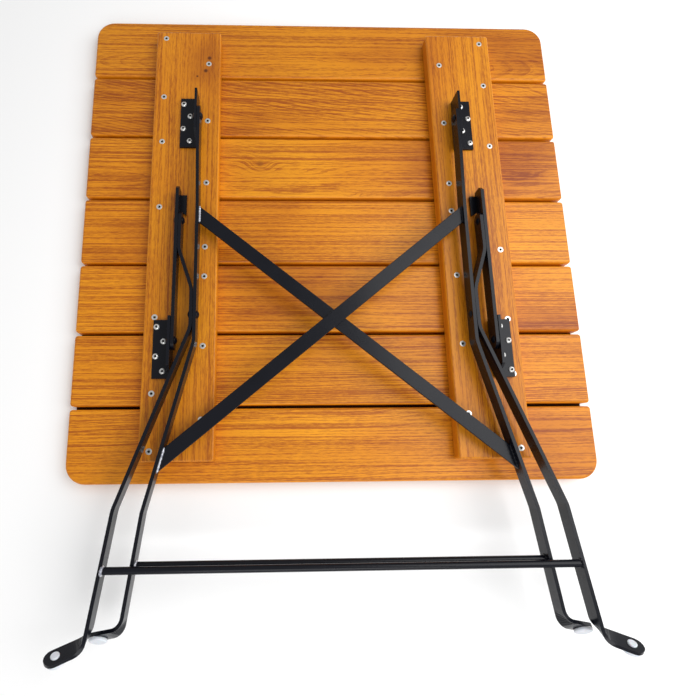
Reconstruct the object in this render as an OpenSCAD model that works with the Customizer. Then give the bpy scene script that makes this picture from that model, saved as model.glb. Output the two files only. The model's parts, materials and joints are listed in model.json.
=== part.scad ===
// Folding table with a slatted wooden top and a black flat-steel scissor frame.
// It lies folded and face down: the top's outer face is on z = 0 and the frame is above it.
// x runs along the boards, y across them, and the feet point to -y. The origin is the
// centre of the top's outer face. Left is -x and right is +x.

/* [Table top] */
// Length of the boards, along x
top_w = 800; // [780:1:820]
// Size of the top across the boards, along y
top_l = 800; // [790:1:810]
// Gap between two boards
board_gap = 5; // [3:0.5:6]
// Thickness of the boards
board_t = 22; // [20:1:24]
// Radius of the top's four corners in plan
corner_r = 30; // [20:1:40]
// Radius along the boards' long edges
edge_r = 4; // [2:0.5:5]

/* [Battens] */
// Width of each batten
batten_w = 110; // [100:1:120]
// Thickness of each batten
batten_t = 22; // [20:1:24]
// Length of each batten
batten_l = 728; // [710:1:740]
// Distance from the middle of the table to the middle of a batten
batten_x = 234; // [230:1:238]
// How far the battens' middle lies towards the feet from the middle of the table
batten_shift = 4; // [0:1:8]

/* [Pivots] */
// Height of the inner frame's pivot and of the scissor pivot above the battens
inner_pivot_rise = 20; // [20:0.5:21]
// Height of the link's pivot above the battens
link_pivot_rise = 18; // [18:0.5:19]
// Place of the inner frame's pivot along y
inner_pivot_y = 180; // [176:1:184]
// Place of the link's pivot along y
link_pivot_y = -193; // [-197:1:-189]
// Place of the scissor pivot along y when folded
scissor_y = -154; // [-158:1:-150]
// Place of the pivot between link and outer frame, the knee, along y when folded
knee_y = -1; // [-4:1:4]
// How far the knee lies below the scissor pivot when folded
knee_drop = 4; // [3.5:0.5:4]

/* [Flat steel] */
// Width of the flat bars of the legs and links
bar_w = 22; // [20:1:24]
// Thickness of the flat bars of the legs and links
bar_t = 5; // [4:0.5:6]
// Gap between two flat pieces that turn on one rivet
play = 0.5; // [0.4:0.1:0.8]
// Width of the two crossed braces
brace_w = 21; // [18:1:24]
// Thickness of the two crossed braces
brace_t = 4; // [3:0.5:5]
// Diameter of the round stretchers
stretcher_d = 10; // [8:0.5:12]
// Distance from the inner frame's pivot to its foot
inner_leg_l = 765; // [755:1:775]
// Radius of the bends in the legs
bend_r = 45; // [30:5:60]
// Radius of the bend at the foot
foot_bend_r = 13; // [11:1:16]

/* [Fasteners] */
// Diameter of the pivot rivets
rivet_d = 8; // [6:0.5:9]
// Diameter of the rivet heads
rivet_head_d = 13; // [12:0.5:15]
// Height of the rivet heads
rivet_head_h = 3.5; // [3:0.5:4]
// Diameter of the wood screws
screw_d = 4.5; // [4:0.25:5]
// Diameter of the wood screws' heads
screw_head_d = 9.5; // [8:0.5:10]
// Diameter of the glides under the feet
glide_d = 24; // [20:1:26]

/* [Hidden] */

$fn = 48;
slat_count = 7;
hole_clear = 0.05;              // radial clearance in every drilled hole
deep = 60;                      // longer than anything that it cuts
black = [0.09, 0.09, 0.10];
steel = [0.78, 0.78, 0.76];
white = [0.93, 0.93, 0.92];
timber = [0.80, 0.48, 0.17];

// ---- heights and pivots, as [y, z] in the folded pose
batten_top = board_t + batten_t;
frame_z = batten_top + inner_pivot_rise;
leg_pivot = [inner_pivot_y, frame_z];
link_pivot = [link_pivot_y, batten_top + link_pivot_rise];
scissor = [scissor_y, frame_z];
knee = [knee_y, frame_z - knee_drop];

// ---- the open pose, where the link and the outer leg's upper arm lie in one line, the tie
inner_arm = norm(leg_pivot - scissor);
outer_arm = norm(knee - scissor);
link_l = norm(knee - link_pivot);
base = leg_pivot - link_pivot;
base_rise = atan2(base.y, base.x);
tie = link_l + outer_arm;
base_l = norm(base);
inner_turn = acos((inner_arm^2 + base_l^2 - tie^2) / (2 * inner_arm * base_l)) - base_rise;
tie_open = acos((tie^2 + base_l^2 - inner_arm^2) / (2 * tie * base_l)) + base_rise;
outer_tilt = asin(knee_drop / outer_arm);
link_tilt = atan2(knee.y - link_pivot.y, knee.x - link_pivot.x);
link_turn = tie_open - link_tilt;
outer_turn = 180 - outer_tilt - tie_open;
// the outer leg is as long as brings its foot down to the same floor as the inner one
floor_z = leg_pivot.y + inner_leg_l * sin(inner_turn);
outer_leg_l = (floor_z - link_pivot.y) / sin(tie_open) - tie;

// ---- layers outward from the middle of the table, as distances |x| of each bar's middle
web_t = 4;
angle_w = 30;                   // width of each side of the angle-iron brackets
leg_web_x = 213;                // inner face of the leg bracket's web
link_web_x = 243;               // inner face of the link bracket's web
inner_top_x = leg_web_x - play - bar_t / 2;
link_x = link_web_x - play - bar_t / 2;
outer_top_x = link_x - play - bar_t;
inner_mid_x = 208;
outer_mid_x = inner_mid_x + bar_t + play;

// ---- legs in plan as [|x|, y], from the upper end to the fold of the foot
leg_end = 16;                   // leg beyond its upper pivot
knee_end = bar_w / 2 + 1;
end_round = 6;                  // corners taken off the ends of bars
inner_foot_y = inner_pivot_y - inner_leg_l;
outer_foot_y = scissor_y - outer_leg_l;
inner_plan = [
    [inner_top_x, inner_pivot_y + leg_end], [inner_top_x, 118], [inner_mid_x, 20],
    [inner_mid_x, -196], [272, -435], [294, inner_foot_y]
];
inner_slope = (inner_plan[4].x - inner_plan[3].x) / (inner_plan[4].y - inner_plan[3].y);
outer_plan = [
    [outer_top_x, scissor_y + outer_arm + knee_end], [outer_top_x, -52], [outer_mid_x, -116],
    [outer_mid_x, -176], [309, -430], [335, outer_foot_y]
];

// ---- fittings
bracket_l = 90;
leg_bracket_y = inner_pivot_y;
link_bracket_y = link_pivot_y - 9.5;
bracket_screw_y = [34, 11.5, -11.5, -34];
bracket_screw_row = [10, 21];   // near and far row, from the web's outer face
screw_l = 36;                   // through the battens
bracket_screw_l = 22;           // under the head
batten_screw_row = [-35, 39];   // inner and outer row, from the batten's middle
// the two screws in each board: the row of the upper one, and both their places in y from the
// board's middle
screws_left = [[1, 2, -48], [1, 2, -43], [1, 33, -41], [1, 31, -37], [0, 29, -37], [0, 33, -39],
               [0, 37, -8]];
screws_right = [[1, -1, -45], [1, 30, -43], [1, 29, -40], [0, 26, -41], [0, 31, -41], [0, 35, -12],
                [0, 43, -8]];
inner_stretcher_y = -503;
outer_stretcher_y = -506;
outer_stretcher_rise = 8;       // above the middle of the outer leg
brace_top_y = 10;
brace_foot_y = -368;
tab_from = 15;                  // stop tab, beyond the knee pivot
tab_to = 50;
tab_reach = 14;                 // how far the tab stands out towards the middle
tab_t = 3.5;
link_tip = 56;                  // link beyond the knee pivot
link_tail = 14;                 // link beyond its bracket pivot
foot_l = 46;                    // from the fold of the foot to its round end
pin_at = 32;                    // from the fold of the foot to the glide's pin
glide_t = 5;
pin_d = 7;
pin_head_d = 11;
pin_head_t = 2.5;

// ======== helpers ========
function unit(v) = v / norm(v);
function turn_z(p, a) = [p.x * cos(a) - p.y * sin(a), p.x * sin(a) + p.y * cos(a)];

// a flat polyline whose corners are rounded with radius r
function corner(a, b, c, r, n = 6) =
    let (u = unit(b - a), v = unit(c - b), turn = acos(u * v),
         left = sign(u.x * v.y - u.y * v.x),
         start = b - u * r * tan(turn / 2),
         centre = start + left * r * [-u.y, u.x])
    [for (i = [0:n]) centre + turn_z(start - centre, left * turn * i / n)];
function smooth(p, r) = [
    p[0],
    for (i = [1:len(p) - 2]) each corner(p[i - 1], p[i], p[i + 1], r),
    p[len(p) - 1]
];

// rounded rectangle, made of true arcs
module rounded(w, h, r) {
    square([w - 2 * r, h], center = true);
    square([w, h - 2 * r], center = true);
    for (x = [-1, 1], y = [-1, 1]) translate([x * (w / 2 - r), y * (h / 2 - r)]) circle(r);
}

// mirrors its children to the chosen side: -1 left, 1 right
module side(s) { mirror([s < 0 ? 1 : 0, 0, 0]) children(); }

// cylinder along x from x0 to x1, about the point p = [y, z]
module x_bar(x0, x1, p, r) { translate([x0, p.x, p.y]) rotate([0, 90, 0]) cylinder(h = x1 - x0, r = r); }

// a domed rivet head on the plane x, standing out towards +x or -x
module rivet_head(x, p, out) {
    translate([x, p.x, p.y]) rotate([0, out * 90, 0]) rotate_extrude() intersection() {
        dome = (rivet_head_d^2 / 4 + rivet_head_h^2) / (2 * rivet_head_h);
        translate([0, rivet_head_h - dome]) circle(dome, $fn = 96);
        square([rivet_head_d / 2, rivet_head_h]);
    }
}

// ======== the ribbon that every leg is made of ========
// A leg is a flat strip. It is bent in plan first, and then folded outward on an oblique
// line at the foot, so that the foot lies flat on the floor when the table is open.
// Each station is [place, face normal, width direction, half width].
function strip_point(s, q, f) =
    let (d = s * (f[0] * f[3]) + q * (f[1] * f[3]), c = s * (f[0] * f[4]) + q * (f[1] * f[4]),
         phi = f[5], setback = foot_bend_r * tan(phi / 2), arc = foot_bend_r * phi * PI / 180,
         a = (d + setback) / foot_bend_r * 180 / PI,
         centre = -setback * f[3] + foot_bend_r * f[2])
    d <= -setback ? [d * f[3] + c * f[4], f[2]]
    : a < phi ? [centre + foot_bend_r * (sin(a) * f[3] - cos(a) * f[2]) + c * f[4],
                 cos(a) * f[2] - sin(a) * f[3]]
    : [centre + foot_bend_r * (sin(phi) * f[3] - cos(phi) * f[2])
         + (d + setback - arc) * (cos(phi) * f[3] + sin(phi) * f[2]) + c * f[4],
       cos(phi) * f[2] - sin(phi) * f[3]];

// fold data: strip direction, width direction, face normal, across the fold, along it, angle
function fold_data(plan, floor_turn) =
    let (n = len(plan), u2 = unit(plan[n - 1] - plan[n - 2]), u = [u2.x, u2.y, 0],
         w = [0, 0, 1], nl = [-u2.y, u2.x, 0], up = [0, sin(floor_turn), -cos(floor_turn)],
         k = unit(cross(nl, up)), m0 = cross(k, nl), m = m0 * sign(m0 * u), phi = acos(nl * up))
    [u, w, nl, m, k, phi];

function half_width(s, end_s) =
    let (left = end_s - s) left >= bar_w / 2 ? bar_w / 2
        : sqrt(max(0.6, bar_w^2 / 4 - (bar_w / 2 - left)^2));

// corner points of the strip at each station, in the order of a closed ring
function plan_rings(p) = [
    for (i = [0:len(p) - 1])
        let (a = unit(p[max(i, 1)] - p[max(i, 1) - 1]),
             b = unit(p[min(i + 1, len(p) - 1)] - p[min(i, len(p) - 2)]),
             t = unit(a + b), n = [-t.y, t.x, 0] * bar_t / 2 / (t * a), o = [p[i].x, p[i].y, 0],
             h = [0, 0, i == 0 ? bar_w / 2 - end_round : bar_w / 2])
        [o - n - h, o + n - h, o + n + h, o - n + h]
];
function fold_rings(f, at, stops) = [
    for (s = stops)
        let (h = half_width(s, foot_l), a = strip_point(s, -h, f), b = strip_point(s, h, f))
        [at + a[0] - a[1] * bar_t / 2, at + a[0] + a[1] * bar_t / 2,
         at + b[0] + b[1] * bar_t / 2, at + b[0] - b[1] * bar_t / 2]
];
function fold_start(f) =
    (foot_bend_r * tan(f[5] / 2) + bar_w / 2 * abs(f[1] * f[3])) / (f[0] * f[3]) + 1;

module tube(rings) {
    n = len(rings);
    polyhedron(
        points = [for (r = rings) each r],
        faces = [
            [0, 1, 2], [0, 2, 3],
            for (i = [0:n - 2], j = [0:3]) let (a = 4 * i + j, b = 4 * i + (j + 1) % 4)
                each [[a, a + 4, b], [b, a + 4, b + 4]],
            [4 * n - 4, 4 * n - 2, 4 * n - 3], [4 * n - 4, 4 * n - 1, 4 * n - 2]
        ]);
}

module leg_strip(plan, floor_turn) {
    f = fold_data(plan, floor_turn);
    last = len(plan) - 1;
    fold_at = [plan[last].x, plan[last].y, 0];
    start = fold_start(f);
    flat_plan = [for (i = [0:last]) i < last ? plan[i] : plan[i] - start * [f[0].x, f[0].y]];
    stops = [for (i = [1:14]) -start + i * (foot_l - bar_w / 2 + start) / 14];
    ends = [for (a = [20:20:80]) foot_l - bar_w / 2 * (1 - sin(a)), foot_l - 0.03];
    shoulder = [plan[0].x, plan[0].y - end_round];
    line = smooth(flat_plan, bend_r);
    strip = concat([line[0], shoulder], [for (i = [1:len(line) - 1]) line[i]]);
    tube(concat(plan_rings(strip), fold_rings(f, fold_at, concat(stops, ends))));
}

// puts children, drawn about z, where the glide's pin goes through the foot
module at_pin(plan, floor_turn) {
    f = fold_data(plan, floor_turn);
    last = len(plan) - 1;
    p = [plan[last].x, plan[last].y, 0] + strip_point(pin_at, 0, f)[0];
    translate(p) rotate([floor_turn, 0, 0]) children();
}

// the plane of the inner legs, and that of the outer legs, which is tilted at the scissor pivot
module inner_plane() { translate([0, 0, frame_z]) children(); }
module outer_plane() {
    translate([0, scissor_y, frame_z]) rotate([-outer_tilt, 0, 0])
        translate([0, -scissor_y, 0]) children();
}
inner_floor = inner_turn;
outer_floor = outer_turn + outer_tilt;

// everything outward of the inner face of a leg's straight length from plan point i to i + 1
module beyond_leg(plan, i, sides = [-1, 1]) {
    run = plan[i + 1] - plan[i];
    for (s = sides) side(s)
        translate([plan[i].x, plan[i].y, -deep]) rotate([0, 0, atan2(-run.x, run.y) + 180])
            translate([-bar_t / 2, -2 * norm(run), 0]) cube([2 * deep, 4 * norm(run), 2 * deep]);
}

// ======== the top ========
slat_w = (top_l - (slat_count - 1) * board_gap) / slat_count;
function slat_y(i) = top_l / 2 - slat_w / 2 - i * (slat_w + board_gap);

module board(w, t, l, r) {
    rotate([0, 90, 0]) translate([0, 0, -l / 2]) linear_extrude(l) rounded(t, w, r);
}

module slat(i) {
    color(timber) difference() {
        intersection() {
            translate([0, slat_y(i), board_t / 2]) board(slat_w, board_t, top_w, edge_r);
            linear_extrude(board_t) rounded(top_w, top_l, corner_r);
        }
        pilot_holes(i);
    }
}

// places of the two screws that hold board i to one batten
module board_screws(s, i) {
    spot = (s < 0 ? screws_left : screws_right)[i];
    for (k = [0, 1])
        translate([s * (batten_x + batten_screw_row[(spot[0] + k) % 2]), slat_y(i) + spot[k + 1],
            batten_top]) children();
}
module each_batten_screw(s) { for (i = [0:slat_count - 1]) board_screws(s, i) children(); }

module pilot_holes(i) {
    for (s = [-1, 1]) board_screws(s, i) translate([0, 0, -screw_l - hole_clear])
        cylinder(h = screw_l, r = screw_d / 2 + hole_clear, $fn = 24);
}

// a countersunk screw with its head flush at z = 0, or the hole for it when it is grown
module screw(l, grow = 0) {
    head_h = (screw_head_d - screw_d) / 2;
    difference() {
        union() {
            translate([0, 0, -l - grow]) cylinder(h = l + grow, r = screw_d / 2 + grow, $fn = 24);
            translate([0, 0, -head_h])
                cylinder(h = head_h, r1 = screw_d / 2 + grow, r2 = screw_head_d / 2 + grow, $fn = 24);
        }
        if (grow == 0) translate([0, 0, -1.8]) cylinder(h = deep, r = 1.9, $fn = 6);
    }
}

module batten(s) {
    color(timber) difference() {
        translate([s * batten_x, -batten_shift, board_t + batten_t / 2]) rotate([0, 0, 90])
            board(batten_w, batten_t, batten_l, 3);
        each_batten_screw(s) screw(screw_l + 5, hole_clear);
        each_bracket_screw(s) translate([0, 0, web_t - bracket_screw_l - hole_clear])
            cylinder(h = bracket_screw_l, r = screw_d / 2 + hole_clear, $fn = 24);
    }
}

module batten_screws(s) { color(steel) each_batten_screw(s) screw(screw_l); }

// ======== brackets ========
// angle iron with one side on the batten and one side standing up beside the leg or link.
// Its screws zigzag, and start at the far row on the left and at the near row on the right.
module bracket(s, web_x, y, pivot) {
    color(black) side(s) difference() {
        union() {
            translate([web_x, y - bracket_l / 2, batten_top]) cube([angle_w, bracket_l, web_t]);
            translate([web_x, y, batten_top]) rotate([0, -90, 0]) mirror([0, 0, 1])
                linear_extrude(web_t) polygon([
                    [0, -bracket_l / 2], [8, -bracket_l / 2], [angle_w, -bracket_l / 2 + 17],
                    [angle_w, bracket_l / 2], [0, bracket_l / 2]]);
        }
        x_bar(web_x - deep / 2, web_x + deep / 2, pivot, rivet_d / 2 + hole_clear);
        bracket_screw_places(s, web_x, y)
            translate([0, 0, -deep / 2]) cylinder(h = deep, r = screw_d / 2 + hole_clear, $fn = 24);
    }
}

module bracket_screw_places(s, web_x, y) {
    for (i = [0:3])
        translate([web_x + web_t + bracket_screw_row[(s < 0 ? i + 1 : i) % 2],
            y + bracket_screw_y[i], batten_top]) children();
}

module each_bracket_screw(s) {
    side(s) {
        bracket_screw_places(s, leg_web_x, leg_bracket_y) children();
        bracket_screw_places(s, link_web_x, link_bracket_y) children();
    }
}

// pan-head screw through a bracket, with the batten's face at z = 0
module bracket_screw() {
    difference() {
        union() {
            translate([0, 0, web_t - bracket_screw_l]) cylinder(h = bracket_screw_l, r = screw_d / 2, $fn = 24);
            translate([0, 0, web_t]) rotate_extrude() intersection() {
                translate([0, -3.5]) circle(6.2, $fn = 64);
                square([screw_head_d / 2, 2.7]);
            }
        }
        translate([0, 0, web_t + 1]) cylinder(h = deep, r = 1.9, $fn = 6);
    }
}

module leg_bracket(s) { bracket(s, leg_web_x, leg_bracket_y, leg_pivot); }
module link_bracket(s) { bracket(s, link_web_x, link_bracket_y, link_pivot); }
module bracket_screws(s) { color(steel) each_bracket_screw(s) bracket_screw(); }

// rivets that hold the inner leg and the link to their brackets
module bracket_rivets(s) {
    color(black) side(s) {
        rivet(leg_web_x - play - bar_t - 0.2, leg_web_x + web_t, leg_pivot);
        rivet(link_web_x - play - bar_t - 0.2, link_web_x + web_t, link_pivot);
    }
}
module rivet(x0, x1, p) {
    x_bar(x0, x1, p, rivet_d / 2);
    rivet_head(x0, p, -1);
    rivet_head(x1, p, 1);
}

// ======== inner frame ========
module inner_leg(s) {
    color(black) side(s) difference() {
        inner_plane() leg_strip(inner_plan, inner_floor);
        x_bar(inner_top_x - deep / 2, inner_top_x + deep / 2, leg_pivot, rivet_d / 2 + hole_clear);
        x_bar(inner_mid_x - deep / 2, inner_mid_x + deep / 2, scissor, rivet_d / 2 + hole_clear);
        inner_plane() at_pin(inner_plan, inner_floor) pin_hole();
    }
}

module pin_hole() {
    translate([0, 0, -deep / 2]) cylinder(h = deep, r = pin_d / 2 + hole_clear, $fn = 32);
}

// flat brace that falls from the upper part of one leg to the lower part of the other
module brace(s, z) {
    a = [-inner_mid_x, brace_top_y];
    b = [inner_plan[3].x + (brace_foot_y - inner_plan[3].y) * inner_slope, brace_foot_y];
    run = b - a;
    color(black) side(s) inner_plane() difference() {
        translate([a.x, a.y, z]) rotate([0, 0, atan2(run.y, run.x)])
            translate([-deep / 2, -brace_w / 2, 0]) cube([norm(run) + deep, brace_w, brace_t]);
        translate([-inner_mid_x + bar_t / 2 - deep, -deep, -deep]) cube([deep, 2 * deep, 2 * deep]);
        beyond_leg(inner_plan, 3, [1]);
    }
}

module inner_stretcher() {
    color(black) inner_plane() stretcher(inner_plan, inner_stretcher_y, 0);
}

module stretcher(plan, y, z) {
    difference() {
        x_bar(-plan[5].x, plan[5].x, [y, z], stretcher_d / 2);
        beyond_leg(plan, 4);
    }
}

// rivets through the inner and outer legs where the two frames cross
module scissor_rivets() {
    color(black) for (s = [-1, 1]) side(s)
        rivet(inner_mid_x - bar_t / 2, outer_mid_x + bar_t / 2 + 0.2, scissor);
}

module glide() {
    translate([0, 0, bar_t / 2]) rotate_extrude()
        polygon([[0, 0], [glide_d / 2 - 1, 0], [glide_d / 2, 1], [glide_d / 2, glide_t - 1.5],
                 [glide_d / 2 - 1.5, glide_t], [0, glide_t]]);
}
module glide_pin() {
    translate([0, 0, -bar_t / 2]) cylinder(h = bar_t, r = pin_d / 2, $fn = 32);
    translate([0, 0, -bar_t / 2 - pin_head_t]) rotate_extrude()
        polygon([[0, 0], [pin_head_d / 2 - 1, 0], [pin_head_d / 2, 1], [pin_head_d / 2, pin_head_t],
                 [0, pin_head_t]]);
}

module inner_feet() {
    color(white) for (s = [-1, 1]) side(s) inner_plane() at_pin(inner_plan, inner_floor) children();
}

// ======== outer frame ========
module outer_leg(s) {
    color(black) side(s) difference() {
        outer_plane() leg_strip(outer_plan, outer_floor);
        x_bar(outer_mid_x - deep / 2, outer_mid_x + deep / 2, scissor, rivet_d / 2 + hole_clear);
        x_bar(outer_top_x - deep / 2, outer_top_x + deep / 2, knee, rivet_d / 2 + hole_clear);
        outer_plane() at_pin(outer_plan, outer_floor) pin_hole();
    }
}

module outer_stretcher() {
    color(black) outer_plane() stretcher(outer_plan, outer_stretcher_y, outer_stretcher_rise);
}

module outer_feet() {
    color(white) for (s = [-1, 1]) side(s) outer_plane() at_pin(outer_plan, outer_floor) children();
}

// ======== links and their stops ========
// children are drawn in a flat outline with the link's pivot at its origin and the knee at
// [link_l, 0], and are cut from a plate that fills x to x + t
module link_plate(x, t) {
    translate([x, link_pivot.x, link_pivot.y]) rotate([link_tilt, 0, 0]) rotate([90, 0, 90])
        linear_extrude(t) children();
}
link_half = bar_w / 2 + 0.2;    // a little wider than the leg, so that the stop just clears it

module link(s) {
    color(black) side(s) difference() {
        link_plate(link_x - bar_t / 2, bar_t) {
            translate([link_half - link_tail, 0]) circle(link_half);
            polygon([[link_half - link_tail, -link_half], [link_l + link_tip, -link_half],
                [link_l + link_tip, link_half - end_round], [link_l + link_tip - end_round, link_half],
                [link_half - link_tail, link_half]]);
        }
        x_bar(link_x - deep / 2, link_x + deep / 2, link_pivot, rivet_d / 2 + hole_clear);
        x_bar(link_x - deep / 2, link_x + deep / 2, knee, rivet_d / 2 + hole_clear);
    }
}

// plate under the end of the link, which the outer leg's upper arm meets when the table is open
module stop_tab(s) {
    edge = link_x + bar_t / 2;
    color(black) side(s)
        translate([0, link_pivot.x, link_pivot.y]) rotate([link_tilt, 0, 0])
            translate([0, link_l, -link_half - tab_t]) linear_extrude(tab_t)
                polygon([[edge, tab_from + 9], [edge - tab_reach, tab_from], [edge - tab_reach, tab_to],
                    [edge, tab_to]]);
}

// the knee rivet is in two halves that meet between the link and the leg: the linkage is open here
module knee_rivet(s) {
    color(black) side(s) {
        x_bar(link_x - bar_t / 2, link_x + bar_t / 2, knee, rivet_d / 2);
        rivet_head(link_x + bar_t / 2, knee, 1);
    }
}
module knee_rivet_tails() {
    color(black) for (s = [-1, 1]) side(s) {
        x_bar(outer_top_x - bar_t / 2, outer_top_x + bar_t / 2, knee, rivet_d / 2);
        rivet_head(outer_top_x - bar_t / 2, knee, -1);
    }
}

// ======== assembly ========
slat(0);  // slat_1
slat(1);  // slat_2
slat(2);  // slat_3
slat(3);  // slat_4
slat(4);  // slat_5
slat(5);  // slat_6
slat(6);  // slat_7
batten(-1);  // batten_left
batten(1);  // batten_right
batten_screws(-1);  // batten_screws_left
batten_screws(1);  // batten_screws_right
leg_bracket(-1);  // leg_bracket_left
leg_bracket(1);  // leg_bracket_right
link_bracket(-1);  // link_bracket_left
link_bracket(1);  // link_bracket_right
bracket_screws(-1);  // bracket_screws_left
bracket_screws(1);  // bracket_screws_right
bracket_rivets(-1);  // bracket_rivets_left
bracket_rivets(1);  // bracket_rivets_right
inner_leg(-1);  // inner_leg_left
inner_leg(1);  // inner_leg_right
brace(1, -brace_t);  // lower_brace
brace(-1, 0);  // upper_brace
inner_stretcher();
scissor_rivets();
inner_feet() glide();  // inner_glides
inner_feet() glide_pin();  // inner_glide_pins
outer_leg(-1);  // outer_leg_left
outer_leg(1);  // outer_leg_right
outer_stretcher();
knee_rivet_tails();
outer_feet() glide();  // outer_glides
outer_feet() glide_pin();  // outer_glide_pins
link(-1);  // link_left
link(1);  // link_right
stop_tab(-1);  // stop_tab_left
stop_tab(1);  // stop_tab_right
knee_rivet(-1);  // knee_rivet_left
knee_rivet(1);  // knee_rivet_right
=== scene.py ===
"""Looks of a folding table: oiled boards, a powder-coated steel frame and its fittings.

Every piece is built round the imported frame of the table, in metres and in the frame's own axes:
x runs along the boards, y across them, and z up out of the underside of the top.
"""

import json
import math

import bmesh
import bpy
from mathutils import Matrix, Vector

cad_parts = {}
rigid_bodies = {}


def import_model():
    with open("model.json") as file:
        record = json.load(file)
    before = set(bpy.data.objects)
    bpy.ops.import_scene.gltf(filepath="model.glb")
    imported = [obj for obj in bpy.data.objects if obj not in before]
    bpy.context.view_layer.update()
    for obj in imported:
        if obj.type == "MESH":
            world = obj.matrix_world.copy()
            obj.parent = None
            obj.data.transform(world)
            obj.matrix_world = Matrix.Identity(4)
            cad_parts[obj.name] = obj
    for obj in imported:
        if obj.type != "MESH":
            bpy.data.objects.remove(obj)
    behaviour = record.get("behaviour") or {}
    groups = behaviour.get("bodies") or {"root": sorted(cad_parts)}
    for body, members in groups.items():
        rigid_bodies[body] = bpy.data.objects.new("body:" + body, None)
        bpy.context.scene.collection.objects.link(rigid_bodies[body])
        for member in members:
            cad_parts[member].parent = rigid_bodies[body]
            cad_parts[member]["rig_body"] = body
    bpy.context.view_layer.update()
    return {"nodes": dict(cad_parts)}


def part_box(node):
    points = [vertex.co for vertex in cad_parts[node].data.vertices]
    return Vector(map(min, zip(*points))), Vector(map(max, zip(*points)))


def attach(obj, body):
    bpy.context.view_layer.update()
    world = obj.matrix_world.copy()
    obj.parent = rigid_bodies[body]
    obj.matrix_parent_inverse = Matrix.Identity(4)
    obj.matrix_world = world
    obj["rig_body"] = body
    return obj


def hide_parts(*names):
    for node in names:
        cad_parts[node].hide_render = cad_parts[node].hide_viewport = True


bl_info = {
    "name": "Folding Table Looks",
    "version": (1, 0, 0),
    "blender": (4, 5, 0),
    "location": "View3D > Sidebar > Folding Table",
    "description": "Dresses the packed frame of a folding table in wood, coated steel and plastic",
    "category": "Object",
}

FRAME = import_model()
MM = 0.001
SAME_POINT = 0.002 * MM     # corners closer than this are one corner
SHANK = 2.25 * MM           # radius of every screw's shank
TAPER = 3 * MM              # length of a screw's pointed end
FLANGE = 4 * MM             # thickness of the brackets' angle iron
TURNED = 36                 # sides of a turned head
BATTEN_CORNER = 4 * MM      # rounding of a batten's corners in plan
SHADE_SHEET_RIM = 3 * MM       # how far the top stands out past the dark sheet of painted shade under it

SLATS = [f"slat_{i}" for i in range(1, 8)]
BATTENS = ["batten_left", "batten_right"]
BRACKETS = ["leg_bracket_left", "leg_bracket_right", "link_bracket_left", "link_bracket_right"]
LEGS = ["inner_leg_left", "inner_leg_right", "outer_leg_left", "outer_leg_right"]
BRACES = ["lower_brace", "upper_brace"]
STRETCHERS = ["inner_stretcher", "outer_stretcher"]
LINKS = ["link_left", "link_right", "stop_tab_left", "stop_tab_right"]
RIVETS = ["bracket_rivets_left", "bracket_rivets_right", "scissor_rivets", "knee_rivet_tails",
          "knee_rivet_left", "knee_rivet_right"]
BATTEN_SCREWS = ["batten_screws_left", "batten_screws_right"]
BRACKET_SCREWS = ["bracket_screws_left", "bracket_screws_right"]
GLIDES = ["inner_glides", "outer_glides"]
GLIDE_PINS = ["inner_glide_pins", "outer_glide_pins"]


# ---------------------------------------------------------------- settings

class BoardSettings(bpy.types.PropertyGroup):
    edge_radius: bpy.props.FloatProperty(
        name="Edge Radius", description="Rounding along every edge of a board",
        default=4 * MM, min=1 * MM, max=6 * MM, unit="LENGTH")
    end_radius: bpy.props.FloatProperty(
        name="End Corner Radius", description="Rounding of a board's own corners in plan",
        default=4.6 * MM, min=4 * MM, max=12 * MM, unit="LENGTH")
    top_corner: bpy.props.FloatProperty(
        name="Top Corner Radius", description="Rounding of the table top's four corners in plan",
        default=30 * MM, min=20 * MM, max=40 * MM, unit="LENGTH")
    batten_edge: bpy.props.FloatProperty(
        name="Batten Edge Radius", description="Rounding along every edge of a batten",
        default=3 * MM, min=1 * MM, max=5 * MM, unit="LENGTH")
    early_wood: bpy.props.FloatVectorProperty(
        name="Early Wood", description="Oiled colour of the light, soft part of each year ring",
        default=(0.73, 0.265, 0.007), size=3, min=0, max=1, subtype="COLOR")
    late_wood: bpy.props.FloatVectorProperty(
        name="Late Wood", description="Oiled colour of the dark line that ends each year ring",
        default=(0.36, 0.085, 0.004), size=3, min=0, max=1, subtype="COLOR")
    knot: bpy.props.FloatVectorProperty(
        name="Knot", description="Colour at the middle of a knot",
        default=(0.085, 0.018, 0.003), size=3, min=0, max=1, subtype="COLOR")
    roughness: bpy.props.FloatProperty(
        name="Roughness", description="Roughness of the oiled surface",
        default=0.42, min=0, max=1, subtype="FACTOR")


class SteelSettings(bpy.types.PropertyGroup):
    bar_edge: bpy.props.FloatProperty(
        name="Bar Edge Radius", description="Rounding of the edges of the legs and links",
        default=1.5 * MM, min=0.5 * MM, max=2.2 * MM, unit="LENGTH")
    plate_edge: bpy.props.FloatProperty(
        name="Plate Edge Radius", description="Rounding of the edges of brackets, braces and tabs",
        default=0.7 * MM, min=0.3 * MM, max=1.5 * MM, unit="LENGTH")
    coat: bpy.props.FloatVectorProperty(
        name="Powder Coat", description="Colour of the powder coat",
        default=(0.0030, 0.0035, 0.0065), size=3, min=0, max=1, subtype="COLOR")
    roughness: bpy.props.FloatProperty(
        name="Roughness", description="Roughness of the powder coat",
        default=0.27, min=0, max=1, subtype="FACTOR")
    bead_radius: bpy.props.FloatProperty(
        name="Weld Bead Radius", description="Half the width of the weld beads",
        default=2.3 * MM, min=1 * MM, max=3 * MM, unit="LENGTH")


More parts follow.
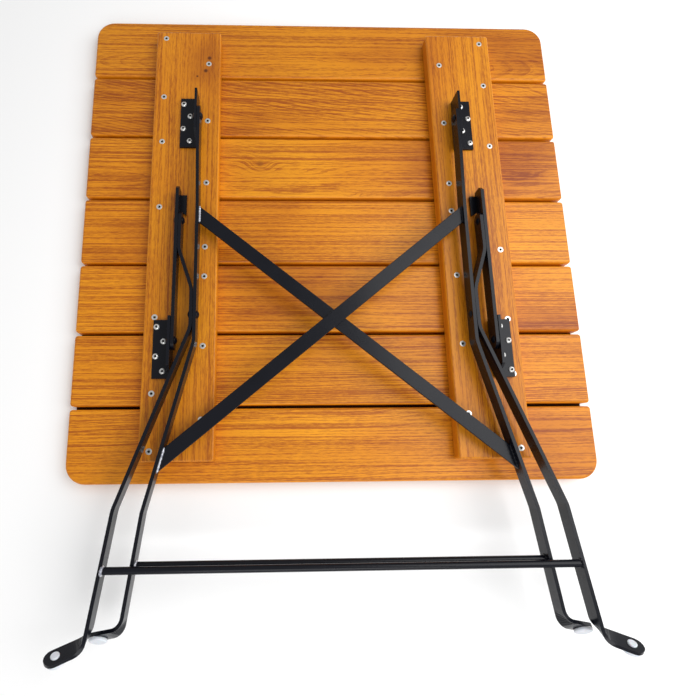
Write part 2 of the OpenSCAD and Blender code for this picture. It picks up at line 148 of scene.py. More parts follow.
class FittingSettings(bpy.types.PropertyGroup):
    zinc: bpy.props.FloatVectorProperty(
        name="Zinc", description="Colour of the plated screws",
        default=(0.80, 0.80, 0.78), size=3, min=0, max=1, subtype="COLOR")
    plastic: bpy.props.FloatVectorProperty(
        name="Plastic", description="Colour of the glides and their pins",
        default=(0.70, 0.73, 0.78), size=3, min=0, max=1, subtype="COLOR")
    sink: bpy.props.FloatProperty(
        name="Screw Sink", description="How far a batten screw's head lies under the wood's surface",
        default=0.4 * MM, min=0, max=1 * MM, unit="LENGTH")


class StudioSettings(bpy.types.PropertyGroup):
    floor: bpy.props.FloatVectorProperty(
        name="Floor", description="Colour of the floor",
        default=(0.98, 0.98, 0.98), size=3, min=0, max=1, subtype="COLOR")
    key_power: bpy.props.FloatProperty(
        name="Key Light", description="Power of the large light on the right",
        default=27, min=0, max=400, unit="POWER")
    front_power: bpy.props.FloatProperty(
        name="Front Light", description="Power of the light beyond the feet",
        default=20, min=0, max=400, unit="POWER")
    sky: bpy.props.FloatProperty(
        name="Sky", description="Brightness of the even light from all round",
        default=0.50, min=0, max=3, subtype="FACTOR")
    eye: bpy.props.FloatVectorProperty(
        name="Camera Place", description="Where the camera stands",
        default=(-0.1008, -0.3569, 0.7746), size=3, subtype="TRANSLATION", unit="LENGTH")
    gaze: bpy.props.FloatVectorProperty(
        name="Camera Turn", description="The camera's rotation about x, y and z",
        default=(math.radians(11.55), math.radians(-1.55), math.radians(-0.57)), size=3,
        subtype="EULER", unit="ROTATION")
    lens: bpy.props.FloatProperty(
        name="Lens", description="Focal length on a 36 mm sensor",
        default=25.5, min=10, max=200, unit="CAMERA")
    shift: bpy.props.FloatVectorProperty(
        name="Lens Shift", description="Shift of the lens across and up, in frame widths",
        default=(0.0954, 0.0063), size=2, min=-0.2, max=0.2)


class TableSettings(bpy.types.PropertyGroup):
    boards: bpy.props.PointerProperty(type=BoardSettings)
    steel: bpy.props.PointerProperty(type=SteelSettings)
    fittings: bpy.props.PointerProperty(type=FittingSettings)
    studio: bpy.props.PointerProperty(type=StudioSettings)


def settings():
    return bpy.context.scene.folding_table


# ---------------------------------------------------------------- shader helpers

class Graph:
    """A material's node tree. Each call adds one node and returns its chosen output socket."""

    def __init__(self, name):
        self.material = bpy.data.materials.new(name)
        self.material.use_nodes = True
        self.tree = self.material.node_tree
        self.shader = self.tree.nodes["Principled BSDF"]
        self.column = 0

    def add(self, kind, out=0, values=None, **options):
        node = self.tree.nodes.new(kind)
        self.column += 1
        node.location = (-200 * self.column, -60 * (self.column % 5))
        for key, value in options.items():
            setattr(node, key, value)
        for key, value in (values or {}).items():
            self.feed(node.inputs[key], value)
        return node.outputs[out]

    def feed(self, socket, value):
        if isinstance(value, bpy.types.NodeSocket):
            self.tree.links.new(value, socket)
        else:
            socket.default_value = value

    def math(self, operation, a, b=0.0, c=0.0):
        return self.add("ShaderNodeMath", values={0: a, 1: b, 2: c}, operation=operation)

    def noise(self, place, stretch, shift=(0, 0, 0), detail=3.0, roughness=0.55, scale=1.0):
        spot = self.add("ShaderNodeMapping", values={"Vector": place, "Scale": stretch, "Location": shift})
        return self.add("ShaderNodeTexNoise", values={
            "Vector": spot, "Scale": scale, "Detail": detail, "Roughness": roughness})

    def ramp(self, factor, stops):
        node = self.tree.nodes.new("ShaderNodeValToRGB")
        self.feed(node.inputs["Fac"], factor)
        while len(node.color_ramp.elements) < len(stops):
            node.color_ramp.elements.new(1.0)
        for element, (at, colour) in zip(node.color_ramp.elements, stops):
            element.position = at
            element.color = (*colour, 1) if len(colour) == 3 else colour
        return node.outputs["Color"]

    def mix(self, factor, a, b, blend="MIX"):
        node = self.tree.nodes.new("ShaderNodeMix")
        node.data_type = "RGBA"
        node.blend_type = blend
        for socket, value in ((node.inputs[0], factor), (node.inputs[6], a), (node.inputs[7], b)):
            self.feed(socket, (*value, 1) if isinstance(value, tuple) and len(value) == 3 else value)
        return node.outputs[2]

    def bump(self, height, strength, distance):
        normal = self.add("ShaderNodeBump", values={
            "Height": height, "Strength": strength, "Distance": distance})
        self.feed(self.shader.inputs["Normal"], normal)

    def surface(self, **values):
        for key, value in values.items():
            self.feed(self.shader.inputs[key.replace("_", " ")], value)
        return self.material


def grey(level):
    return (level, level, level)


def wood(name, along, seed, heart, ring=3.4 * MM, slant=0.0, wave=1.0, contrast=0.6,
         tone=1.0, red=0.0, dive=0.0, apex=0.0, uneven=1.0, knots=()):
    """Oiled softwood, sawn out of a log whose pith runs along the board at heart = (across, z).

    ring is the width of a year ring, slant the drift of the grain across the board per metre and
    wave how far the grain wanders. The pith rises through the face by dive per metre from apex,
    which draws nested loops. uneven is how much the rings differ, and knots are (x, y, radius,
    darkness).
    """
    board = settings().boards
    g = Graph(name)
    place = g.add("ShaderNodeTexCoord", out="Object")
    parts = g.tree.nodes.new("ShaderNodeSeparateXYZ")
    g.feed(parts.inputs[0], place)
    run, across = (parts.outputs[0], parts.outputs[1])
    stretch = (1.0, 7.0, 7.0)
    if along == "y":
        run, across = across, run
        stretch = (7.0, 1.0, 7.0)

    def pulled(factor):
        return tuple(s * factor for s in stretch)

    offset = (seed * 1.37, seed * 2.11, seed * 0.73)
    drift = g.math("SUBTRACT", g.noise(place, pulled(1.6), offset, detail=2), 0.5)
    ripple = g.math("SUBTRACT", g.noise(place, pulled(7.0), offset, detail=2), 0.5)
    side = g.math("SUBTRACT", across, heart[0])
    side = g.math("MULTIPLY_ADD", run, slant, side)
    side = g.math("MULTIPLY_ADD", drift, 0.075 * wave, side)
    knot_mask = halo = None
    for kx, ky, kr, dark_core in knots:
        gap = g.add("ShaderNodeVectorMath", out="Value", operation="DISTANCE",
                    values={0: place, 1: (kx, ky, place_z(along))})
        near = g.math("MULTIPLY", g.math("MULTIPLY", gap, gap), -1 / (2 * (2.6 * kr) ** 2))
        swell = g.math("EXPONENT", near)
        side = g.math("MULTIPLY_ADD", swell, 2.6 * kr, side)
        core = g.add("ShaderNodeMapRange", values={
            "Value": g.math("MULTIPLY_ADD", ripple, 0.6 * kr, gap),
            "From Min": 0.55 * kr, "From Max": 1.25 * kr, "To Min": dark_core, "To Max": 0.0})
        swell = g.math("MULTIPLY", swell, dark_core)
        knot_mask = core if knot_mask is None else g.math("MAXIMUM", knot_mask, core)
        stain = g.math("EXPONENT", g.math("MULTIPLY", near, 0.16))
        stain = g.math("MULTIPLY", stain, dark_core)
        halo = stain if halo is None else g.math("MAXIMUM", halo, stain)
    deep = g.math("SUBTRACT", parts.outputs[2], heart[1])
    deep = g.math("MULTIPLY_ADD", g.math("SUBTRACT", run, apex), dive, deep)
    reach = g.math("SQRT", g.math("ADD", g.math("MULTIPLY", side, side), g.math("MULTIPLY", deep, deep)))
    reach = g.math("MULTIPLY_ADD", ripple, 0.0045 * wave, reach)
    seasons = g.add("ShaderNodeTexNoise", values={"W": g.math("MULTIPLY", reach, 90.0), "Detail": 2.0},
                    noise_dimensions="1D")
    reach = g.math("MULTIPLY_ADD", seasons, 2.2 * ring * uneven, reach)
    year = g.math("FRACT", g.math("DIVIDE", reach, ring))
    late = g.ramp(year, [(0.0, grey(0.10)), (0.35, grey(0.14)), (0.72, grey(0.55)), (0.90, grey(1.0)),
                         (0.96, grey(0.7)), (1.0, grey(0.10))])
    patch = g.noise(place, pulled(2.3), (offset[1], offset[2], offset[0]), detail=2)
    strength = g.math("MULTIPLY_ADD", g.math("SUBTRACT", patch, 0.5), 2.2 * uneven, contrast)
    line = g.math("MULTIPLY", late, strength)
    line = g.math("MAXIMUM", line, 0.0)
    fibre = g.noise(place, pulled(75.0), offset, detail=4, roughness=0.75)
    stripes = (2.2, 42, 42) if along == "x" else (42, 2.2, 42)
    streak = g.noise(place, tuple(s * f for s, f in zip(stretch, stripes)), offset, detail=3)
    amount = g.math("MULTIPLY_ADD", g.math("SUBTRACT", streak, 0.47), 3.1, line)
    amount = g.math("MULTIPLY_ADD", g.math("SUBTRACT", fibre, 0.5), 2.6, amount)
    early = tuple(c * tone for c in board.early_wood)
    early = (early[0], early[1] * (1 - 0.25 * red), early[2] * (1 - 0.3 * red))
    dark = tuple(c * tone for c in board.late_wood)
    colour = g.mix(g.math("MINIMUM", g.math("MAXIMUM", amount, 0.0), 1.0), early, dark)
    cloud = g.noise(place, tuple(2.6 * s ** 0.5 for s in stretch), offset, detail=3, roughness=0.6)
    colour = g.mix(1.0, colour, g.ramp(cloud, [(0.32, (0.68, 0.54, 0.44)), (0.46, (0.94, 0.90, 0.86)),
                                               (0.56, grey(1.0)), (0.72, (1.10, 1.20, 1.30))]), "MULTIPLY")
    # Where the normal turns away from z, on the rounded edges, the wood is mixed towards a paler tint: a
    # painted highlight along every edge, together with oil rubbed off them.
    facing = g.tree.nodes.new("ShaderNodeSeparateXYZ")
    g.feed(facing.inputs[0], g.add("ShaderNodeTexCoord", out="Normal"))
    edge_highlight_and_wear = g.add("ShaderNodeMapRange", values={
        "Value": g.math("ABSOLUTE", facing.outputs[2]), "From Min": 0.97, "From Max": 0.60})
    pale = tuple(min(1.0, 1.35 * c) for c in board.early_wood)
    colour = g.mix(g.math("MULTIPLY", edge_highlight_and_wear, 0.35), colour, pale)
    if knot_mask is not None:
        colour = g.mix(g.math("MULTIPLY", halo, 0.50), colour, tuple(c * 0.8 for c in board.late_wood))
        colour = g.mix(g.math("MULTIPLY", knot_mask, 0.9), colour, tuple(board.knot))
    g.bump(g.math("MULTIPLY_ADD", late, -0.5, fibre), 0.25, 0.25 * MM)
    shine = g.math("MULTIPLY_ADD", fibre, 0.16, board.roughness - 0.08)
    return g.surface(Base_Color=colour, Roughness=shine, Specular_IOR_Level=0.26, Coat_Weight=0.10,
                     Coat_Roughness=0.25)


def place_z(along):
    """Height of the face that shows: the boards' underside, or the battens' outer face."""
    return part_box(SLATS[0] if along == "x" else BATTENS[0])[1].z


def powder_coat(name="powder coat"):
    """Satin black powder coat, with the faint orange peel of a sprayed and baked finish."""
    steel = settings().steel
    g = Graph(name)
    place = g.add("ShaderNodeTexCoord", out="Object")
    peel = g.noise(place, (1, 1, 1), detail=2, scale=620)
    rub = g.noise(place, (1, 1, 1), detail=3, scale=26)
    g.bump(peel, 0.10, 0.12 * MM)
    shine = g.math("MULTIPLY_ADD", rub, 0.16, steel.roughness - 0.08)
    tone = g.mix(g.math("MULTIPLY", rub, 0.5), tuple(steel.coat), tuple(c * 1.9 for c in steel.coat))
    return g.surface(Base_Color=tone, Roughness=shine, Specular_IOR_Level=0.20, Coat_Weight=0.07,
                     Coat_Roughness=0.14)


def zinc_plate(name="zinc plate"):
    g = Graph(name)
    place = g.add("ShaderNodeTexCoord", out="Object")
    spangle = g.noise(place, (1, 1, 1), detail=3, scale=900)
    colour = g.mix(spangle, tuple(c * 0.86 for c in settings().fittings.zinc),
                   tuple(settings().fittings.zinc))
    g.bump(spangle, 0.06, 0.05 * MM)
    return g.surface(Base_Color=colour, Metallic=0.75,
                     Roughness=g.math("MULTIPLY_ADD", spangle, 0.12, 0.26))


# Near-black, mottled finish for the screws' star recesses: painted shade where the hollow lies in shadow.
def painted_recess_shade(name="painted recess shade"):
    g = Graph(name)
    place = g.add("ShaderNodeTexCoord", out="Object")
    recess_mottle = g.noise(place, (1, 1, 1), detail=3, scale=1200)
    return g.surface(Base_Color=g.mix(recess_mottle, (0.012, 0.010, 0.009), (0.05, 0.045, 0.04)), Roughness=0.7,
                     Specular_IOR_Level=0.2)


# Silvery white, mottled metallic finish, given to the weld beads on the left only.
def pale_weld_finish(name="pale weld finish"):
    g = Graph(name)
    place = g.add("ShaderNodeTexCoord", out="Object")
    weld_mottle = g.noise(place, (1, 1, 1), detail=3, scale=260)
    colour = g.ramp(weld_mottle, [(0.3, (0.20, 0.21, 0.27)), (0.5, (0.55, 0.56, 0.62)), (0.7, (0.88, 0.88, 0.90))])
    g.bump(weld_mottle, 0.3, 0.2 * MM)
    return g.surface(Base_Color=colour, Metallic=0.55, Roughness=0.38)


def moulded_plastic(name="moulded plastic"):
    g = Graph(name)
    place = g.add("ShaderNodeTexCoord", out="Object")
    grain = g.noise(place, (1, 1, 1), detail=3, scale=700)
    scuff = g.noise(place, (1, 1, 1), detail=4, scale=90)
    plastic = settings().fittings.plastic
    colour = g.mix(g.ramp(scuff, [(0.5, grey(0.0)), (0.75, grey(0.5))]), tuple(plastic),
                   tuple(c * 0.8 for c in plastic))
    g.bump(grain, 0.08, 0.08 * MM)
    return g.surface(Base_Color=colour, Roughness=g.math("MULTIPLY_ADD", grain, 0.1, 0.4),
                     Subsurface_Weight=0.08, Subsurface_Scale=0.002)


def finish_once(name, make):
    """The material called name, made the first time that it is asked for."""
    return bpy.data.materials.get(name) or make(name)


# ---------------------------------------------------------------- mesh helpers

def new_piece(name, points, faces, material):
    mesh = bpy.data.meshes.new(name)
    mesh.from_pydata([tuple(p) for p in points], [], faces)
    mesh.validate()
    return wrap(name, mesh, material)


def wrap(name, mesh, material):
    mesh.materials.clear()
    mesh.materials.append(material)
    mesh.shade_smooth()
    piece = bpy.data.objects.new(name, mesh)
    bpy.context.scene.collection.objects.link(piece)
    return piece


def darken_recesses(piece, heads):
    """Gives the star recess of every turned head, the first faces of its lathe, a near-black finish:
    painted shade in the hollow.
    """
    piece.data.materials.append(finish_once("painted recess shade", painted_recess_shade))
    each = len(piece.data.polygons) // heads
    for face in piece.data.polygons:
        turned = face.index % each
        if turned % (each // TURNED) < 2:
            # the recess faces get the painted shade
            face.material_index = 1


def flat_faces_stay_flat(piece, weight=80):
    weighted = piece.modifiers.new("Even Normals", "WEIGHTED_NORMAL")
    weighted.keep_sharp = True
    weighted.weight = weight


def stand_in(piece, node):
    """piece is shown for the frame's node, and moves with the same body."""
    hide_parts(node)
    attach(piece, FRAME["nodes"][node]["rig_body"])
    return piece


def clean_copy(node):
    """A bmesh of the frame's node with its triangles gathered back into whole faces."""
    bm = bmesh.new()
    bm.from_mesh(FRAME["nodes"][node].data)
    bmesh.ops.remove_doubles(bm, verts=bm.verts, dist=SAME_POINT)
    bmesh.ops.dissolve_limit(bm, angle_limit=math.radians(0.05), verts=bm.verts, edges=bm.edges)
    bmesh.ops.join_triangles(bm, faces=[f for f in bm.faces if len(f.verts) == 3],
                             angle_face_threshold=math.radians(12), angle_shape_threshold=math.radians(60))
    return bm


def rounded_copy(node, radius, least_angle=28):
    """The node's own shape with its sharp edges rounded."""
    bm = clean_copy(node)
    sharp = [e for e in bm.edges
             if len(e.link_faces) == 2 and e.calc_face_angle(0) > math.radians(least_angle)]
    bmesh.ops.bevel(bm, geom=sharp, offset=radius, segments=3, profile=0.5, affect="EDGES",
                    clamp_overlap=True, loop_slide=True)
    mesh = bpy.data.meshes.new(node + "_rounded")
    bm.to_mesh(mesh)
    bm.free()
    return mesh


def solids(node):
    """Lowest and highest corner of every separate solid in a node."""
    bm = bmesh.new()
    bm.from_mesh(FRAME["nodes"][node].data)
    bmesh.ops.remove_doubles(bm, verts=bm.verts, dist=SAME_POINT)
    left, boxes = set(bm.verts), []
    while left:
        group, front = set(), [left.pop()]
        while front:
            vert = front.pop()
            group.add(vert.co.copy().freeze())
            for edge in vert.link_edges:
                other = edge.other_vert(vert)
                if other in left:
                    left.remove(other)
                    front.append(other)
        boxes.append((Vector([min(p[i] for p in group) for i in range(3)]),
                      Vector([max(p[i] for p in group) for i in range(3)])))
    bm.free()
    return boxes


def outline(low, high, radii, inset, steps=8):
    """Rectangle in plan with a rounded corner at each of +x+y, -x+y, -x-y and +x-y."""
    points = []
    for quarter, radius in enumerate(radii):
        sx, sy = ((1, 1), (-1, 1), (-1, -1), (1, -1))[quarter]
        cx = (high.x if sx > 0 else low.x) - sx * radius
        cy = (high.y if sy > 0 else low.y) - sy * radius
        for i in range(steps + 1):
            a = math.radians(90 * quarter + 90 * i / steps)
            points.append((cx + (radius - inset) * math.cos(a), cy + (radius - inset) * math.sin(a)))
    return points


def board_mesh(low, high, edge, radii, steps=4):
    """Points and faces of a board whose every edge is rounded."""
    rings = []
    for middle, first in ((low.z + edge, -90), (high.z - edge, 0)):
        for i in range(steps + 1):
            a = math.radians(first + 90 * i / steps)
            z = middle + edge * math.sin(a)
            rings.append([(x, y, z) for x, y in outline(low, high, radii, edge * (1 - math.cos(a)))])
    n = len(rings[0])
    points = [p for ring in rings for p in ring]
    faces = [tuple(reversed(range(n))), tuple(range(len(points) - n, len(points)))]
    for r in range(len(rings) - 1):
        for i in range(n):
            j = (i + 1) % n
            faces.append((r * n + i, r * n + j, (r + 1) * n + j, (r + 1) * n + i))
    return points, faces


def lathe(profile, centre, segments=TURNED):
    """Points and faces turned about z at centre. Each step of the profile is (radius, z, lobes),
    where lobes makes a six-pointed star out of the circle. It runs from the top to the bottom,
    and its first and last radius are 0."""
    points, faces = [centre + Vector((0, 0, profile[0][1]))], []
    for radius, z, lobes in profile[1:-1]:
        for i in range(segments):
            a = 2 * math.pi * i / segments
            r = radius + lobes * math.cos(6 * a)
            points.append(centre + Vector((r * math.cos(a), r * math.sin(a), z)))
    points.append(centre + Vector((0, 0, profile[-1][1])))
    last = len(points) - 1
    for i in range(segments):
        j = (i + 1) % segments
        faces.append((0, 1 + i, 1 + j))
        for r in range(len(profile) - 3):
            a = 1 + r * segments
            faces.append((a + j, a + i, a + segments + i, a + segments + j))
        a = 1 + (len(profile) - 3) * segments
        faces.append((a + j, a + i, last))
    return points, faces


def joined(parts):
    points, faces = [], []
    for part_points, part_faces in parts:
        start = len(points)
        points += part_points
        faces += [tuple(start + i for i in face) for face in part_faces]
    return points, faces


def bead(path, radius, seed, sides=8, lumps=5):
    """A weld bead: a rippled tube along path, closed at both ends."""
    points, faces = [], []
    steps = len(path)
    for i, at in enumerate(path):
        ahead = (path[min(i + 1, steps - 1)] - path[max(i - 1, 0)]).normalized()
        across = ahead.orthogonal().normalized()
        up = ahead.cross(across)
        end = math.sin(math.pi * (i + 0.35) / (steps - 0.3))
        swell = 0.86 + 0.14 * math.sin(i * lumps * 2 * math.pi / steps + seed)
        r = radius * swell * (0.35 + 0.65 * min(1.0, 3 * end))
        for s in range(sides):
            a = 2 * math.pi * s / sides
            points.append(at + r * (across * math.cos(a) + up * math.sin(a)))
    for i in range(steps - 1):
        for s in range(sides):
            t = (s + 1) % sides
            faces.append((i * sides + s, i * sides + t, (i + 1) * sides + t, (i + 1) * sides + s))
    faces.append(tuple(reversed(range(sides))))
    faces.append(tuple(range((steps - 1) * sides, steps * sides)))
    return points, faces


# ---------------------------------------------------------------- wood

# along the boards: seed, pith (across from the board's middle, z), ring, slant, wave, contrast, tone, red
SLAT_TIMBER = [
    dict(seed=3.1, heart=(-0.027, 0.0), ring=3.2 * MM, wave=0.45, contrast=0.50, tone=0.93, dive=0.10,
         apex=0.10, uneven=0.5),
    dict(seed=8.4, heart=(0.130, -0.060), ring=4.6 * MM, slant=0.16, wave=0.8, contrast=0.95, tone=0.96,
         uneven=0.55),
    dict(seed=5.7, heart=(-0.030, -0.030), ring=4.4 * MM, slant=0.03, wave=1.6, contrast=0.80, tone=1.0),
    dict(seed=1.9, heart=(-0.105, -0.020), ring=3.0 * MM, wave=0.35, contrast=0.80, tone=1.02, uneven=0.6),
    dict(seed=9.2, heart=(0.120, -0.040), ring=3.0 * MM, slant=0.01, wave=0.4, contrast=0.70, tone=1.03),
    dict(seed=2.6, heart=(0.090, -0.015), ring=2.9 * MM, slant=-0.01, wave=0.35, contrast=0.85, tone=1.03,
         uneven=0.6),
    dict(seed=6.3, heart=(-0.110, -0.050), ring=3.3 * MM, slant=-0.03, wave=0.7, contrast=0.75, tone=1.04),
]


class FT_OT_slats(bpy.types.Operator):
    """Makes the boards of the top, each with its own grain"""
    bl_idname = "folding_table.slats"
    bl_label = "Boards"

    def execute(self, context):
        board = settings().boards
        for i, node in enumerate(SLATS):
            low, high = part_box(node)
            back = board.top_corner if i == 0 else board.end_radius
            front = board.top_corner if i == len(SLATS) - 1 else board.end_radius
            points, faces = board_mesh(low, high, board.edge_radius, (back, back, front, front))
            timber = dict(SLAT_TIMBER[i])
            middle = (low.y + high.y) / 2
            timber["heart"] = (middle + timber["heart"][0], timber["heart"][1])
            if node == "slat_3":
                timber["knots"] = [(low.x + 0.36 * (high.x - low.x), middle + 7 * MM, 6 * MM, 0.35)]
            piece = new_piece(f"board_{i + 1}", points, faces, wood(f"oiled board {i + 1}", "x", **timber))
            flat_faces_stay_flat(piece)
            stand_in(piece, node)
        return {"FINISHED"}


class FT_OT_battens(bpy.types.Operator):
    """Makes the two battens, with countersunk holes and a knotty end"""
    bl_idname = "folding_table.battens"
    bl_label = "Battens"

    def execute(self, context):
        board = settings().boards
        for node, screws, seed in zip(BATTENS, BATTEN_SCREWS, (4.4, 7.7)):
            low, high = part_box(node)
            points, faces = board_mesh(low, high, board.batten_edge, (BATTEN_CORNER,) * 4)
            middle = (low.x + high.x) / 2
            knots = []
            if node == "batten_left":
                knots = [(middle + dx, high.y + dy, r, 1.0) for dx, dy, r in (
                    (0.036, -0.052, 3.4 * MM), (0.030, -0.077, 3.4 * MM), (0.016, -0.088, 1.8 * MM))]
            timber = wood(f"oiled {node}", "y", seed, (middle - 0.055, -0.01), ring=2.7 * MM, slant=0.015,
                          wave=0.9, contrast=0.34, tone=0.90, red=0.18, knots=knots)
            piece = new_piece(node + "_board", points, faces, timber)
            cuts = [lathe([(0, 2 * MM, 0), (7.3 * MM, 2 * MM, 0), (5.3 * MM, 0, 0), (2.3 * MM, -3 * MM, 0),
                           (0, -3 * MM, 0)], Vector(((a.x + b.x) / 2, (a.y + b.y) / 2, high.z)), 24)
                    for a, b in solids(screws)]
            cutter = new_piece("cutter", *joined(cuts), timber)
            carve = piece.modifiers.new("Countersinks", "BOOLEAN")
            carve.object = cutter
            carve.solver = "EXACT"
            context.view_layer.update()
            carved = bpy.data.meshes.new_from_object(piece.evaluated_get(context.evaluated_depsgraph_get()))
            piece.modifiers.clear()
            piece.data = carved
            bpy.data.objects.remove(cutter)
            for face in carved.polygons:
                face.use_smooth = True
            flat_faces_stay_flat(piece)
            stand_in(piece, node)
        return {"FINISHED"}


# ---------------------------------------------------------------- fasteners

def star_head(radius, crown, recess=0.42, depth=1.5 * MM):
    """The top of a screw from the bottom of its star recess out to its rim, as a lathe profile."""
    rim = radius * recess
    return [(0, crown - depth, 0), (rim * 0.92, crown - depth, 0.10 * rim),
            (rim, crown - 0.1 * MM, 0.12 * rim), (rim * 1.1, crown, 0.10 * rim)]


class FT_OT_batten_screws(bpy.types.Operator):
    """Makes the countersunk screws that hold the boards to the battens"""
    bl_idname = "folding_table.batten_screws"
    bl_label = "Batten Screws"

    def execute(self, context):
        sink = settings().fittings.sink
        for node in BATTEN_SCREWS:
            parts = []
            for low, high in solids(node):
                head = (high.x - low.x) / 2
                length = high.z - low.z
                profile = star_head(head, -sink) + [
                    (head - 0.35 * MM, -sink, 0), (head - 0.05 * MM, -sink - 0.2 * MM, 0),
                    (head - 0.25 * MM, -sink - 0.6 * MM, 0), (SHANK, -sink - 2.8 * MM, 0),
                    (SHANK, TAPER - length, 0), (0.4 * MM, -length, 0), (0, -length, 0)]
                parts.append(lathe(profile, Vector(((low.x + high.x) / 2, (low.y + high.y) / 2, high.z))))
            piece = new_piece(node.replace("batten", "countersunk"), *joined(parts),
                              finish_once("zinc plate", zinc_plate))
            darken_recesses(piece, len(parts))
            flat_faces_stay_flat(piece)
            stand_in(piece, node)
        return {"FINISHED"}


class FT_OT_bracket_screws(bpy.types.Operator):
    """Makes the pan-head screws of the brackets"""
    bl_idname = "folding_table.bracket_screws"
    bl_label = "Bracket Screws"

    def execute(self, context):
        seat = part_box(BATTENS[0])[1].z + FLANGE
        for node in BRACKET_SCREWS:
            parts = []
            for low, high in solids(node):
                head = (high.x - low.x) / 2
                crown = high.z - seat
                profile = star_head(head, crown, 0.40, 1.6 * MM) + [
                    (0.72 * head, 0.82 * crown, 0), (0.93 * head, 0.50 * crown, 0), (head, 0.16 * crown, 0),
                    (0.98 * head, 0, 0), (SHANK, 0, 0), (SHANK, low.z - seat + TAPER, 0),
                    (0.4 * MM, low.z - seat, 0), (0, low.z - seat, 0)]
                parts.append(lathe(profile, Vector(((low.x + high.x) / 2, (low.y + high.y) / 2, seat))))
            piece = new_piece(node.replace("bracket", "pan_head"), *joined(parts),
                              finish_once("zinc plate", zinc_plate))
            darken_recesses(piece, len(parts))
            flat_faces_stay_flat(piece)
            stand_in(piece, node)
        return {"FINISHED"}


class FT_OT_rivets(bpy.types.Operator):
    """Gives the domed pivot rivets their powder coat"""
    bl_idname = "folding_table.rivets"
    bl_label = "Rivets"

    def execute(self, context):
        coat = finish_once("powder coat", powder_coat)
        for node in RIVETS:
            piece = wrap(node + "_domed", rounded_copy(node, 0.35 * MM, 40), coat)
            flat_faces_stay_flat(piece)
            stand_in(piece, node)
        return {"FINISHED"}


# ---------------------------------------------------------------- steel

def coated(nodes, radius, weight=80):
    coat = finish_once("powder coat", powder_coat)
    for node in nodes:
        piece = wrap(node + "_coated", rounded_copy(node, radius), coat)
        flat_faces_stay_flat(piece, weight)
        stand_in(piece, node)


class FT_OT_brackets(bpy.types.Operator):
    """Makes the angle-iron brackets with broken edges"""
    bl_idname = "folding_table.brackets"
    bl_label = "Brackets"

    def execute(self, context):
        coated(BRACKETS, settings().steel.plate_edge)
        return {"FINISHED"}


class FT_OT_legs(bpy.types.Operator):
    """Makes the four bent legs of round-edged flat bar, with their folded feet"""
    bl_idname = "folding_table.legs"
    bl_label = "Legs"

    def execute(self, context):
        coated(LEGS, settings().steel.bar_edge, 50)
        return {"FINISHED"}


class FT_OT_braces(bpy.types.Operator):
    """Makes the crossed braces and the round stretchers"""
    bl_idname = "folding_table.braces"
    bl_label = "Braces and Stretchers"

    def execute(self, context):
        coated(BRACES, settings().steel.plate_edge)
        coated(STRETCHERS, 0.3 * MM)
        return {"FINISHED"}


class FT_OT_links(bpy.types.Operator):
    """Makes the links and the stop tabs under their ends"""
    bl_idname = "folding_table.links"
    bl_label = "Links"

    def execute(self, context):
        coated(LINKS[:2], settings().steel.bar_edge, 50)
        coated(LINKS[2:], settings().steel.plate_edge)
        return {"FINISHED"}


class FT_OT_feet(bpy.types.Operator):
    """Makes the plastic glides and the heads of their pins"""
    bl_idname = "folding_table.feet"
    bl_label = "Feet"

    def execute(self, context):
        plastic = finish_once("moulded plastic", moulded_plastic)
        for node in GLIDES + GLIDE_PINS:
            piece = wrap(node + "_moulded", rounded_copy(node, 0.5 * MM, 35), plastic)
            flat_faces_stay_flat(piece)
            stand_in(piece, node)
        return {"FINISHED"}


def end_corners(node, side):
    """The corner points of a brace's or stretcher's end on the left (-1) or right (1)."""
    bm = clean_copy(node)
    points = sorted((v.co.copy() for v in bm.verts), key=lambda p: -side * p.x)
    bm.free()
    return points[:len(points) // 2]


class FT_OT_welds(bpy.types.Operator):
    """Lays weld beads where the braces and stretchers meet the legs"""
    bl_idname = "folding_table.welds"
    bl_label = "Weld Beads"

    def execute(self, context):
        radius = settings().steel.bead_radius
        bright = finish_once("pale weld finish", pale_weld_finish)
        coat = finish_once("powder coat", powder_coat)
        for node in BRACES + STRETCHERS:
            for side, name in ((-1, "left"), (1, "right")):
                corners = end_corners(node, side)
                if node in BRACES:
                    top = max(p.z for p in corners)
                    edge = sorted((p for p in corners if p.z > top - 0.5 * MM), key=lambda p: p.y)
                    path = [edge[0].lerp(edge[-1], i / 24) for i in range(25)]
                else:
                    low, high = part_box(node)
                    middle = Vector((0, (low.y + high.y) / 2, (low.z + high.z) / 2))
                    x = side * min(abs(p.x) for p in corners)
                    wide = (high.z - low.z) / 2
                    path = []
                    for i in range(25):
                        a = math.radians(-40 + 260 * i / 24)
                        y = middle.y + wide * math.cos(a)
                        slope = (max(abs(p.x) for p in corners) - abs(x)) / (2 * wide)
                        lean = slope * (middle.y + wide - y)
                        path.append(Vector((x + side * lean, y, middle.z + wide * math.sin(a))))
                # beads on the left are silvery white, beads on the right carry the powder coat
                piece = new_piece(f"weld_{node}_{name}", *bead(path, radius, len(node) + side, lumps=7),
                                  bright if side < 0 else coat)
                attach(piece, FRAME["nodes"][node]["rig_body"])
        return {"FINISHED"}


# ---------------------------------------------------------------- studio

def area_light(name, place, aim, width, power):
    light = bpy.data.lights.new(name, "AREA")
    light.shape = "SQUARE"
    light.size = width
    light.energy = power
    lamp = bpy.data.objects.new(name, light)
    lamp.location = place
    lamp.rotation_euler = (Vector(aim) - Vector(place)).to_track_quat("-Z", "Y").to_euler()
    bpy.context.scene.collection.objects.link(lamp)


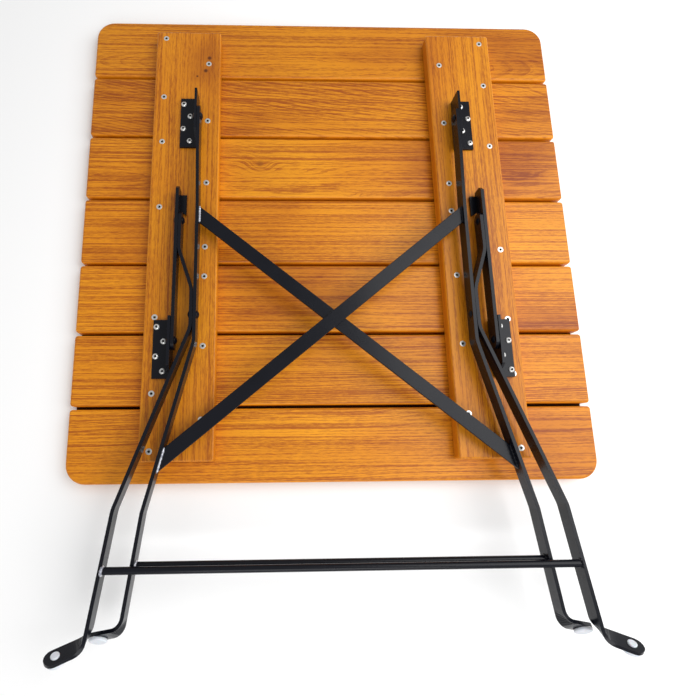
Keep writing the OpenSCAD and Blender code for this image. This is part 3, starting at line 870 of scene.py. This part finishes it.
class FT_OT_studio(bpy.types.Operator):
    """Lays the pale floor, with a near-black sheet under the top that paints shade into the gaps between
    the boards, and sets up lights and camera
    """
    bl_idname = "folding_table.studio"
    bl_label = "Studio"

    def execute(self, context):
        studio = settings().studio
        scene = context.scene
        scene.view_settings.view_transform = "Standard"
        g = Graph("studio floor")
        place = g.add("ShaderNodeTexCoord", out="Object")
        cloud = g.noise(place, (1, 1, 1), detail=3, scale=3)
        tone = g.mix(cloud, tuple(studio.floor), tuple(c * 0.985 for c in studio.floor))
        corners = [(x, y, -0.2 * MM) for x, y in ((-8, -8), (8, -8), (8, 8), (-8, 8))]
        floor = new_piece("floor", corners, [(0, 1, 2, 3)], g.surface(Base_Color=tone, Roughness=0.9))
        # A near-black, mottled sheet just under the top, painted shade: it keeps the floor from showing
        # white through the gaps between the boards.
        low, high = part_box(SLATS[-1])[0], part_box(SLATS[0])[1]
        gap_shade = Graph("gap_shade")
        sheet_mottle = gap_shade.noise(gap_shade.add("ShaderNodeTexCoord", out="Object"), (1, 1, 1), detail=3, scale=400)
        edge = outline(low, high, (settings().boards.top_corner,) * 4, SHADE_SHEET_RIM)
        dark_gap_sheet = new_piece(
            "dark_gap_sheet", [(x, y, -0.1 * MM) for x, y in edge], [tuple(range(len(edge)))],
            gap_shade.surface(Base_Color=gap_shade.mix(sheet_mottle, (0.030, 0.012, 0.006), (0.045, 0.020, 0.010)),
                         Roughness=1.0, Specular_IOR_Level=0.0))
        area_light("key light", (1.15, 0.10, 1.35), (0.05, -0.1, 0), 1.7, studio.key_power)
        area_light("front light", (0.15, -1.9, 1.7), (0, -0.2, 0), 1.4, studio.front_power)
        world = bpy.data.worlds.new("studio")
        world.use_nodes = True
        sky = world.node_tree.nodes["Background"]
        sky.inputs["Color"].default_value = (1, 1, 1, 1)
        sky.inputs["Strength"].default_value = studio.sky
        scene.world = world
        camera = bpy.data.objects.new("camera", bpy.data.cameras.new("camera"))
        camera.location = studio.eye
        camera.rotation_euler = studio.gaze
        camera.data.lens = studio.lens
        camera.data.sensor_width = 36
        camera.data.shift_x, camera.data.shift_y = studio.shift
        camera.data.clip_start = 0.02
        scene.collection.objects.link(camera)
        scene.camera = camera
        return {"FINISHED"}


class FT_PT_panel(bpy.types.Panel):
    """Lists the pieces of the table and the settings that shape them"""
    bl_idname = "FT_PT_panel"
    bl_label = "Folding Table"
    bl_space_type = "VIEW_3D"
    bl_region_type = "UI"
    bl_category = "Folding Table"

    def draw(self, context):
        table = context.scene.folding_table
        for title, group in (("Boards", table.boards), ("Steel", table.steel),
                             ("Fittings", table.fittings), ("Studio", table.studio)):
            box = self.layout.box()
            box.label(text=title)
            for name in group.__annotations__:
                box.prop(group, name)
        for operator in OPERATORS:
            self.layout.operator(operator.bl_idname)


OPERATORS = (FT_OT_slats, FT_OT_battens, FT_OT_batten_screws, FT_OT_brackets, FT_OT_bracket_screws,
             FT_OT_legs, FT_OT_braces, FT_OT_links, FT_OT_rivets, FT_OT_feet, FT_OT_welds, FT_OT_studio)
CLASSES = (BoardSettings, SteelSettings, FittingSettings, StudioSettings, TableSettings,
           *OPERATORS, FT_PT_panel)


def register():
    for cls in CLASSES:
        bpy.utils.register_class(cls)
    bpy.types.Scene.folding_table = bpy.props.PointerProperty(type=TableSettings)


def unregister():
    del bpy.types.Scene.folding_table
    for cls in reversed(CLASSES):
        bpy.utils.unregister_class(cls)


def main():
    register()
    for operator in OPERATORS:
        group, name = operator.bl_idname.split(".")
        getattr(getattr(bpy.ops, group), name)()


if __name__ == "__main__":
    main()
